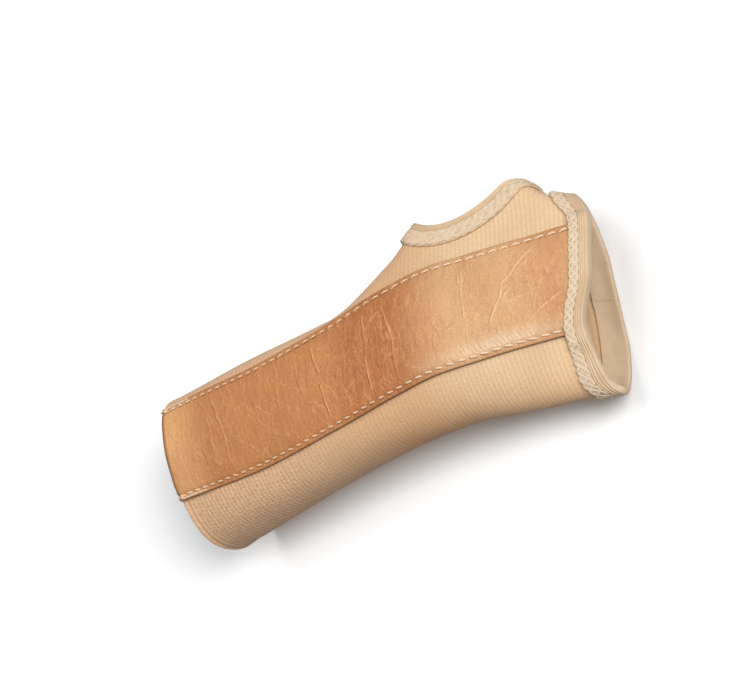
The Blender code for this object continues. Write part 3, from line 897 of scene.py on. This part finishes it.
def leather_relief(x, a, inside):
    """Height of the leather's outer face, its crease tone and its wear. The tone is 1 pale and raised, -1
    dark and sunk:
    partly the leather's own tone, partly painted highlight on raised creases and painted shade in their
    grooves, along the stitch line and in the needle holes. The wear is a pale haze by the ulnar seam,
    partly painted highlight on its puckers. inside is the distance from the nearer long edge."""
    height, tone = crease_relief(x, a)
    wrist = bump(x, 104, 17)
    palm = ramp(x, 125, 150)
    sway = 0.9 * value_noise(x / 12, a / 10, 60)
    wrinkle = value_noise(x / 0.8 + sway, a / 7, 5) + value_noise(x / 1.4 + sway, a / 9, 6) - 1
    pebble = value_noise(x / 1, a / 1.1, 9) - 0.5
    height += (0.05 + 0.03 * wrist) * wrinkle + 0.05 * pebble
    tone += (0.17 + 0.05 * wrist) * wrinkle + (0.15 + 0.2 * palm) * pebble
    height += 0.5 * (value_noise(x / 11, a / 8, 21) - 0.5)
    tone -= 0.2 * wrist * value_noise(x / 4, a / 12, 23)
    height += 0.3 * ramp(inside, STITCH_IN, STITCH_IN + 5)
    height -= 0.36 * bump(inside, STITCH_IN, 0.75)
    # painted shade along the sunk stitch line
    tone -= 0.3 * bump(inside, STITCH_IN + 0.2, 0.5)
    uneven = 0.1 + 1.3 * value_noise(x / 1.7, a / 1.8, 90)
    lean = x + 0.45 * a + 2.2 * value_noise(x / 5, a / 4, 91)
    pucker = np.cos(math.tau * lean / 1.9) * bump(inside, STITCH_IN + 2.6, 2.3) * uneven
    loose = (a < 0) * bump(x, 158, 25)
    height += pucker * (0.03 + 0.05 * loose)
    # Pale haze over the puckers by the ulnar seam: partly wear, partly painted highlight on each pucker's
    # crest.
    haze = (0.85 + 0.3 * pucker) * (0.7 + 0.4 * value_noise(x / 3, a / 1.6, 92))
    wear_and_highlight = bump(inside, STITCH_IN + 2, 3.2) * loose * haze * ramp(inside, STITCH_IN - 0.4, STITCH_IN + 0.5)
    for end in np.ravel(stitch_ends(FIRST_STITCH, LENGTH)):
        near = np.abs(x - end) < 1.6
        hole = bump(np.hypot(x[near] - end, inside[near] - STITCH_IN), 0, 0.55)
        height[near] -= 0.16 * hole
        # painted shade in the needle hole
        tone[near] -= 0.25 * hole
    return height, tone, wear_and_highlight


def panel_arc(along, place):
    """Distance round the arched panel from the middle of the arch."""
    return CROWN_RADIUS * np.arcsin(section(along, place)[0] / CROWN_RADIUS)


def leather_cover(material):
    rim, rim_in = EDGE_STEPS / (2 * LEATHER_HALF), EDGE_IN / (2 * LEATHER_HALF)
    shares = np.concatenate([rim, np.linspace(rim_in, 1 - rim_in, 76), 1 - rim[::-1]])
    columns = -PANEL + 2 * PANEL * shares
    down = np.linspace(0, 1, int(LENGTH / LEATHER_ROW))[:, None]
    mouth = np.broadcast_to(EDGE_STEPS[:, None], (len(EDGE_STEPS), len(columns)))
    along = np.concatenate([mouth, EDGE_IN + (palm_end(columns) - BIND_EDGE - EDGE_IN) * down])
    place = np.broadcast_to(columns, along.shape)
    across = panel_arc(along, place) - panel_arc(along, np.zeros(along.shape))
    inside = np.abs(np.where(across > 0, across[:, -1:], across[:, :1])) - np.abs(across)
    from_edge = np.minimum(inside, along)
    height, tone, wear_and_highlight = leather_relief(along, across, inside)
    width = palm_width(place)
    calm = ramp(palm_end(place) - along, width - 1, width + 0.8)
    height = height * calm - (0.5 - np.sqrt(0.25 - (0.5 - np.clip(from_edge, 0, 0.5)) ** 2))
    under = np.where(inside < 3.2, KNIT[0] + 0.1, COVER[1])
    outer = over_face(along, place, COVER[0] + height)
    inner = over_face(along, place, np.minimum(under, height - 0.5))
    spots = flat_spots(along, across)
    # Darkens the cut edges: the raw edge's own dark, and painted shadow along the mouth, where the band is
    # widened. The strip outside the stitches is a little darker, and the inner face takes 0.8 all over.
    hem = 0.25 * ramp(inside, STITCH_IN - 0.2, STITCH_IN - 0.9)
    edge = np.maximum(ramp(np.minimum(from_edge, 0.22 * along), 0.5, 0.2), hem).ravel()
    tone = np.clip(tone * (0.3 + 0.7 * calm), -1, 1).ravel()
    wear_and_highlight = np.clip(wear_and_highlight * calm, 0, 1).ravel()
    attributes = {
        "cloth_mm": (spots, spots + INNER_SHIFT),
        "crease": (tone, 0 * tone),
        "wear_and_highlight": (wear_and_highlight, 0 * wear_and_highlight),
        "cut_edge_and_shadow": (edge, 0 * edge + 0.8),
    }
    return closed_sheet("leather_cover", "pocket_cover", outer, inner, material, attributes)


def lining_cloth(material):
    columns = np.linspace(-PANEL, PANEL, 46)
    along = (palm_end(columns) - BIND_EDGE) * np.linspace(0, 1, 220)[:, None]
    place = np.broadcast_to(columns, along.shape)
    across = section(along, place)[0]
    swell = 0.15 * (value_noise(along / 9, across / 7, 31) - 0.5)
    outer, inner = (over_face(along, place, face + swell) for face in LINING)
    spots = flat_spots(along, across)
    return closed_sheet("lining_cloth", "pocket_lining", outer, inner, material,
                        {"cloth_mm": (spots, spots)})


# ---------------- bindings

def panel_lift(place):
    """1 over the leather, falling to 0 where the binding lies on the knit alone."""
    return 1 - ramp(np.abs(place) - PANEL, 0.012, 0.062)


def palm_width(place):
    return PALM_BIND[0] + (PALM_BIND[1] - PALM_BIND[0]) * ramp(np.abs(place), *PALM_BIND_GROWS)


def binding_outside(inland, width, smooth_to, ribs):
    """Height of a binding's outer face over its mean, from its flap's edge to its lip."""
    ribbed = (inland < smooth_to) & (inland > 0.9)
    height = 0.22 * np.cos(math.tau * ribs * (inland - 0.9) / (smooth_to - 0.9)) * ribbed
    height -= 0.8 * ramp(inland, width - 0.9, width)
    height -= 0.12 * bump(inland, (smooth_to + width) / 2, 2)
    return height - 0.38 * bump(inland, smooth_to + 0.15, 0.22)


def binding_profile(width, smooth_to, ribs, scallop, lift):
    """A binding's cross-section at each step round it: distances inland, heights, and shade."""
    top = KNIT[0] + 0.15 - lift * (KNIT[0] - 0.15)
    low = KNIT[1] - BIND_GAP + lift * (LINING[1] - KNIT[1])
    outer = KNIT[0] + BIND_GAP - lift * KNIT[0] + BIND_THICK
    columns = []
    for share in (1, 0.985, 0.95, 0.9, *np.linspace(0.82, 0.18, 8), 0.1, 0.05, 0):
        inland = smooth_to + 0.35 + (width + scallop - smooth_to - 0.35) * share
        rise = binding_outside(inland - scallop * share, width, smooth_to, ribs)
        shade = 0.04 + 0.4 * ramp(share, 0.95, 1) + (0.4 + 2 * np.abs(scallop)) * bump(share, 0, 0.05)
        columns.append((inland, outer + rise, shade))
    for share in np.linspace(1, 0, 30)[1:]:
        inland = 0.9 + (smooth_to - 0.55) * share
        rib = binding_outside(inland, width, smooth_to, ribs)
        columns.append((inland, outer + rib, np.clip(-rib * 2.6, 0, 0.7)))
    middle, half = (outer + low - BIND_THICK) / 2, (outer - low + BIND_THICK) / 2
    for angle in np.radians(np.linspace(75, -75, 9)):
        columns.append((0.9 - 0.9 * math.cos(angle), middle + half * math.sin(angle), 0))
    flaps = ((0.9, width - 0.1, low - BIND_THICK, 0), (width, BIND_LIP, low, 0.6),
             (BIND_LIP, width + scallop, top, 0.9))
    for start, end, height, shade in flaps:
        columns += [(start + (end - start) * share, height, shade) for share in np.linspace(0, 1, 9)]
    shape = np.shape(lift)
    return [np.stack([np.broadcast_to(c[i], shape) for c in columns], axis=1) for i in range(3)]


def binding_piece(name, stands_for, spot_at, run, profile, material):
    """A closed band with its cross-sections set at the spots that spot_at gives for them."""
    inland, height, shade = profile
    verts = over_face(*spot_at(inland), height)
    faces = ring_faces(*inland.shape, closed=True).tolist()
    attributes = {"cloth_mm": flat_spots(run[:, None], inland), "shade": shade.ravel()}
    made = make_piece(name, stands_for, verts.reshape(-1, 3), faces, material, attributes,
                      sharp=70)


def scalloped(run, rim, zigs, depth, middle):
    """How far a binding's edge is drawn in and out by the zigzag over it."""
    return depth * np.abs(np.cos(math.pi * zigs * run / rim)) - middle


def palm_binding(material):
    place, rim = even_places(palm_end, 560)
    place = place[:-1]
    run = np.linspace(0, rim, len(place), endpoint=False)
    scallop = scalloped(run, rim, round(rim / ZIGZAG), 0.55, 0.25)
    width = palm_width(place)
    profile = binding_profile(width, PALM_RIBBED * width, 3, scallop, panel_lift(place))

    def spot_at(inland):
        spots = np.broadcast_to(place[:, None], inland.shape)
        return palm_end(spots) - inland, spots

    binding_piece("palm_binding_band", "palm_binding", spot_at, run, profile, material)


def thumb_binding(material):
    turn = -np.linspace(0, math.tau, 420, endpoint=False)
    edge = over_face(*thumb_spot(turn, np.zeros(len(turn))), 0)
    reached = reached_by(np.concatenate([edge, edge[:1]]))
    run, rim = reached[:-1], reached[-1]
    scallop = scalloped(run, rim, round(rim * 1.25 / ZIGZAG), 0.16, 0.08)
    profile = binding_profile(THUMB_BIND, THUMB_RIBBED, 2, scallop, np.zeros(len(turn)))
    binding_piece("thumb_binding_band", "thumb_binding", lambda inland: thumb_spot(turn[:, None], inland),
                  run, profile, material)


def zigzag_paths(spot_at, zigs, top_at, seed, steps=30):
    """Pairs of strands that cross from side to side of a binding, evenly apart and a little uneven."""
    paths = []
    share = np.linspace(0, 1, zigs * steps, endpoint=False)
    turns = np.linspace(0, zigs, zigs * steps, endpoint=False)
    for k in range(ZIGZAG_PAIRS):
        for beside in (-0.03, 0.03):
            rng = np.random.default_rng(seed + k)
            early = np.interp(turns, np.arange(zigs + 1), 0.03 * rng.normal(size=zigs + 1), period=zigs)
            reach = np.interp(turns * 2 % (2 * zigs), np.arange(2 * zigs + 1),
                              rng.uniform(0.9, 1, 2 * zigs + 1), period=2 * zigs)
            phase = math.tau * (turns + k / ZIGZAG_PAIRS + beside + early)
            swing = reach * np.arcsin(0.95 * np.sin(phase)) / math.asin(0.95)
            along, place = spot_at(share, swing)
            weave = 0.12 * np.cos(ZIGZAG_PAIRS * phase + k * 2.1)
            dip = 0.3 * ramp(np.abs(swing), 0.8, 1)
            height = top_at(place) + weave - dip
            paths.append((over_face(along, place, height), facing(along, place), *STRAND))
    return paths


def cover_stitches(material):
    """Strands of zigzag that hold each binding down."""
    count = 2000
    palm_places, rim = even_places(palm_end, count)
    shares = np.linspace(0, 1, count + 1)

    def palm_spot(share, swing):
        place = np.interp(share, shares, palm_places)
        width = palm_width(place)
        low = PALM_RIBBED * width + 0.3
        return palm_end(place) - low - (width - 0.1 - low) * (swing + 1) / 2, place

    def palm_top(place):
        return KNIT[0] + BIND_GAP - panel_lift(place) * KNIT[0] + BIND_THICK + 0.05

    def thumb_at(share, swing):
        return thumb_spot(math.tau * share, 6 + 2.8 * swing)

    def thumb_top(place):
        return np.full(np.shape(place), KNIT[0] + BIND_GAP + BIND_THICK - 0.02)

    palm_zigs = round(rim / ZIGZAG / ZIGZAG_PAIRS)
    add_thread("palm_zigzag_stitch", "palm_cover_stitch",
               zigzag_paths(palm_spot, palm_zigs, palm_top, 60), material, sides=6, closed=True)
    add_thread("thumb_zigzag_stitch", "thumb_cover_stitch",
               zigzag_paths(thumb_at, THUMB_ZIGZAGS, thumb_top, 80), material, sides=6, closed=True)


# ---------------- seams

def add_thread(name, stands_for, paths, material, **shape):
    verts, faces, run = tubes(paths, **shape)
    make_piece(name, stands_for, verts, faces, material, {"thread_run": run}, sharp=80)


def stitch_ends(start, end):
    """Where each visible stitch starts and ends. They grow longer towards the palm."""
    spans = []
    x = start
    while True:
        palm = float(ramp(x, 90, 150))
        length = 2.35 + 1.05 * palm
        if x + length > end:
            return spans
        spans.append((x, x + length))
        x += 4.1 + 0.75 * palm


def stitch_path(x0, x1, place, slant, top, width, deep=0.55):
    t = np.linspace(0, 1, 13)
    along = x0 + (x1 - x0) * t
    spot = place + slant * (t - 0.5) * 2 * PANEL / LEATHER_HALF
    arch = np.sin(math.pi * t) ** 0.55
    half_width = width * (0.62 + 0.38 * arch)
    height = top - deep + deep * arch
    return over_face(along, spot, height), facing(along, spot), half_width, 0.8 * half_width


def mouth_wrap(place):
    """The thread's end, turned over the leather's edge at the pocket's mouth."""
    corners = ((3, 0), (1.6, 0.3), (0.7, 0.28), (0.1, 0.1), (-0.25, -0.35), (-0.3, -0.9))
    along, height = np.array(corners).T
    spot = np.full(len(corners), place)
    bend = np.linspace(0, 1, len(corners))[:, None]
    up = facing(along, spot) * (1 - bend) - TIP_UP[:, 0] * bend
    return over_face(along, spot, height), up, *WRAP_THREAD


def seam_stitches(material):
    plies = {"sides": 9, "twist": 2.4, "plies": 0.07}
    line = PANEL * (1 - STITCH_IN / LEATHER_HALF)
    outer_line = PANEL * (1 - 0.45 * STITCH_IN / LEATHER_HALF)
    for side, sign in (("radial", 1), ("ulnar", -1)):
        place = sign * line
        spans = stitch_ends(FIRST_STITCH, float(palm_end(place) - palm_width(place)) - 0.6)
        rng = np.random.default_rng(40 + sign)
        seam = [stitch_path(*span, place, sign * (0.16 + rng.normal(0, 0.07)), 0.16, THREAD)
                for span in spans]
        under = [stitch_path(*span, place, 0, LINING[1] - 0.25, FINE_THREAD, -0.3) for span in spans]
        tack = [stitch_path(x, x + TACK[0], sign * outer_line, sign * 0.25, 0.12, 0.9 * THREAD, 0.4)
                for x in np.arange(1, BACKTACK - 2, TACK[1])]
        tack.append(mouth_wrap(sign * (line + outer_line) / 2))
        for kind, paths in (("seam", seam), ("bobbin", under), ("backtack", tack)):
            add_thread(f"{side}_{kind}_stitches", f"{side}_{kind}_thread", paths, material, **plies)


# ---------------- stay

def stay_strip(name, stands_for, low, high, half, layer, round_ends, material):
    """A strip with rounded edges that follows the pocket's own bend, and rounded ends where asked."""
    start = low if round_ends[0] else low - STAY_CORNER
    finish = high if round_ends[1] else high + STAY_CORNER
    ends = STAY_CORNER * (1 - np.cos(np.linspace(0, math.pi / 2, 12)))
    inner = np.linspace(low + STAY_CORNER, high - STAY_CORNER,
                        max(3, int((high - low - 2 * STAY_CORNER) / 2.5)))
    share = np.sin(np.linspace(-1, 1, 23) * math.pi / 2)
    rows = np.unique(np.concatenate([low + ends, inner, high - ends]))
    along = np.broadcast_to(rows[:, None], (len(rows), len(share)))
    near = np.minimum(along - start, finish - along)
    short = np.clip(STAY_CORNER - near, 0, STAY_CORNER)
    wide = half - STAY_CORNER + np.sqrt(STAY_CORNER**2 - short**2)
    y = STAY_MID + share * wide
    rim = np.minimum(wide * (1 - np.abs(share)), near)
    middle, thick = (layer[0] + layer[1]) / 2, (layer[0] - layer[1]) / 2
    rounding = thick * (0.45 + 0.55 * np.sqrt(1 - (1 - np.clip(rim / (0.6 * thick), 0, 1)) ** 2))

    def grid(height):
        out = height / CROWN_RADIUS
        return laid(on_arc(along, y * (1 + out), crown(y) + (CROWN_RADIUS + crown(y)) * out))

    spots = flat_spots(along, y)
    closed_sheet(name, stands_for, grid(middle + rounding), grid(middle - rounding), material,
                 {"cloth_mm": (spots, spots)}, body="stay")


def palmar_stay():
    vinyl, half = tip_finish(), STAY_HALF + TIP_SPARE
    stay_strip("stay_strip", "palmar_stay", STAY_FROM, STAY_TO, STAY_HALF, STAY,
               (True, True), stay_finish())
    stay_strip("stay_end_cap_proximal", "stay_tip_proximal", STAY_FROM - TIP_SPARE,
               STAY_FROM + TIP_LENGTH, half, TIP, (True, False), vinyl)
    stay_strip("stay_end_cap_distal", "stay_tip_distal", STAY_TO - TIP_LENGTH,
               STAY_TO + TIP_SPARE, half, TIP, (False, True), vinyl)


# ---------------- room, light and camera

def floor():
    size = 6
    mesh = bpy.data.meshes.new("floor")
    corners = [(-size, -size, 0), (size, -size, 0), (size, size, 0), (-size, size, 0)]
    mesh.from_pydata(corners, [], [(0, 1, 2, 3)])
    finish = Finish("floor_paper", Base_Color=rgb(0.95, 0.95, 0.95), Roughness=0.9, Specular_IOR_Level=0.1)
    mesh.materials.append(finish.material)
    made = put("floor", mesh)
    made.location.z = -0.0004
    made.visible_diffuse = False


def soft_light(name, direction, power, size, away=3):
    light = bpy.data.lights.new(name, "AREA")
    light.shape = "DISK"
    light.size = size
    light.energy = power
    made = put(name, light)
    made.location = Vector(direction).normalized() * away
    made.rotation_euler = (Vector((0, 0, 0.02)) - made.location).to_track_quat("-Z", "Y").to_euler()


def lights():
    world = bpy.data.worlds.new("studio")
    bpy.context.scene.world = world
    world.use_nodes = True
    background = world.node_tree.nodes["Background"].inputs
    background["Color"].default_value = rgb(1, 1, 1)
    background["Strength"].default_value = 0.3
    soft_light("key", (0.8, -0.05, 0.7), power=86, size=1.5)
    soft_light("fill", (-0.1, 0.3, 1), power=40, size=2.6)


def camera():
    lens = bpy.data.cameras.new("camera")
    lens.sensor_width = 36
    lens.lens = 153.25
    lens.clip_end = 30
    target, away = Vector((-0.00404, 0.00561, 0.030)), 1.163
    look = Vector((-0.60595, 0.29511, -0.73874)).normalized()
    roll = math.radians(81.63)
    level = look.cross(Vector((0, 0, 1))).normalized()
    up = level.cross(look) * math.cos(roll) + level * math.sin(roll)
    made = put("camera", lens)
    turned = Matrix((look.cross(up), up, -look)).transposed().to_4x4()
    made.matrix_world = Matrix.Translation(target - look * away) @ turned
    bpy.context.scene.camera = made
    bpy.context.scene.view_settings.view_transform = "Standard"


camera()
lights()
floor()
elastic = elastic_sleeve(knit_finish())
leather = leather_cover(leather_finish())
lining = lining_cloth(lining_finish())
binding = binding_finish()
palm_binding(binding)
thumb_binding(binding)
cover_stitches(thread_finish("splint_cover_yarn", COVER_YARN))
seam_stitches(thread_finish("splint_thread", SEAM_YARN))
palmar_stay()
